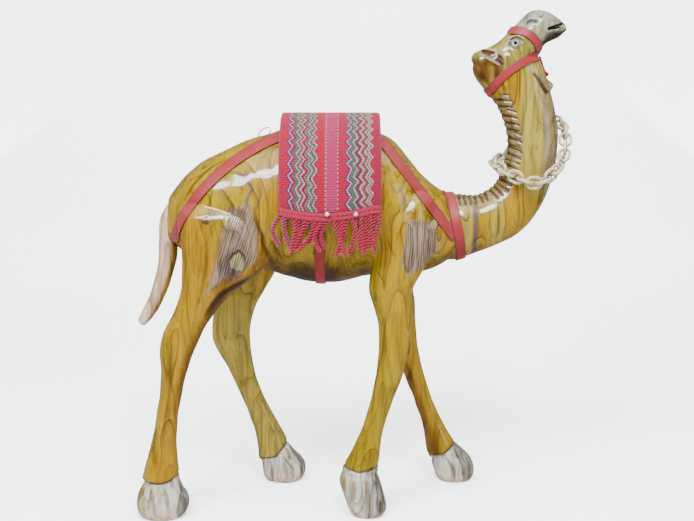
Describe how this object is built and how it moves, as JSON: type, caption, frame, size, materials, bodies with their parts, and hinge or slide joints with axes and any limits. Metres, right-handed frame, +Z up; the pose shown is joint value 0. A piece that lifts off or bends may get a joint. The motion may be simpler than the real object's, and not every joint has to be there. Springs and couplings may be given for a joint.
{
  "type": "carved camel statue",
  "caption": "Standing carved wooden camel with raised head, woven saddle blanket with fringe, leather harness and a wooden link chain round the neck.",
  "frame": {"origin": "on the standing surface under the middle of the figure's bounding box", "axes": "+X forwards, the way the camel faces; +Y to the camel's left; +Z up"},
  "size_m": [0.3094, 0.1058, 0.3507],
  "materials": {
    "olive_wood": "gloss lacquer",
    "dowel_wood": "plain",
    "chain_wood": "satin",
    "red_leather": "semi-matte",
    "rug_weave": "woven wool and cotton",
    "fringe_yarn": "twisted yarn",
    "pin_metal": "pearl-coated head"
  },
  "bodies": {
    "root": {"blanket_pins": "pin_metal", "breast_straps": "red_leather", "chain_link_00": "chain_wood", "chain_link_01": "chain_wood", "chain_link_02": "chain_wood", "chain_link_10": "chain_wood", "chain_link_11": "chain_wood", "chain_link_12": "chain_wood", "chain_link_13": "chain_wood", "chain_link_14": "chain_wood", "chain_link_15": "chain_wood", "chain_link_16": "chain_wood", "chain_link_23": "chain_wood", "chain_link_24": "chain_wood", "chain_link_25": "chain_wood", "crupper_strap": "red_leather", "ear_left": "olive_wood", "ear_pegs": "dowel_wood", "ear_right": "olive_wood", "fringe_heading_left": "fringe_yarn", "fringe_heading_right": "fringe_yarn", "fringe_left": "fringe_yarn", "fringe_right": "fringe_yarn", "front_leg_left": "olive_wood", "front_leg_right": "olive_wood", "girth_strap": "red_leather", "headstall": "red_leather", "leg_dowels": "dowel_wood", "neck_and_head": "olive_wood", "neck_collar": "red_leather", "neck_dowels": "dowel_wood", "noseband": "red_leather", "rear_leg_left": "olive_wood", "rear_leg_right": "olive_wood", "saddle_blanket": "rug_weave", "tail": "olive_wood", "tail_dowel": "dowel_wood", "torso": "olive_wood"},
    "chain_swag_right": {"chain_link_03": "chain_wood", "chain_link_04": "chain_wood", "chain_link_05": "chain_wood", "chain_link_06": "chain_wood", "chain_link_07": "chain_wood", "chain_link_08": "chain_wood", "chain_link_09": "chain_wood"},
    "chain_swag_left": {"chain_link_17": "chain_wood", "chain_link_18": "chain_wood", "chain_link_19": "chain_wood", "chain_link_20": "chain_wood", "chain_link_21": "chain_wood", "chain_link_22": "chain_wood"}
  },
  "joints": [
    {"name": "right_swag_swing", "type": "hinge", "parent": "root", "child": "chain_swag_right", "pos_m": [0.12457, -0.01516, 0.2427], "axis": [-0.9962, 0.0174, -0.0858], "range_deg": [0, 25]},
    {"name": "left_swag_swing", "type": "hinge", "parent": "root", "child": "chain_swag_left", "pos_m": [0.12824, 0.01571, 0.26223], "axis": [-0.7941, 0.1106, -0.5976], "range_deg": [0, 20]}
  ]
}
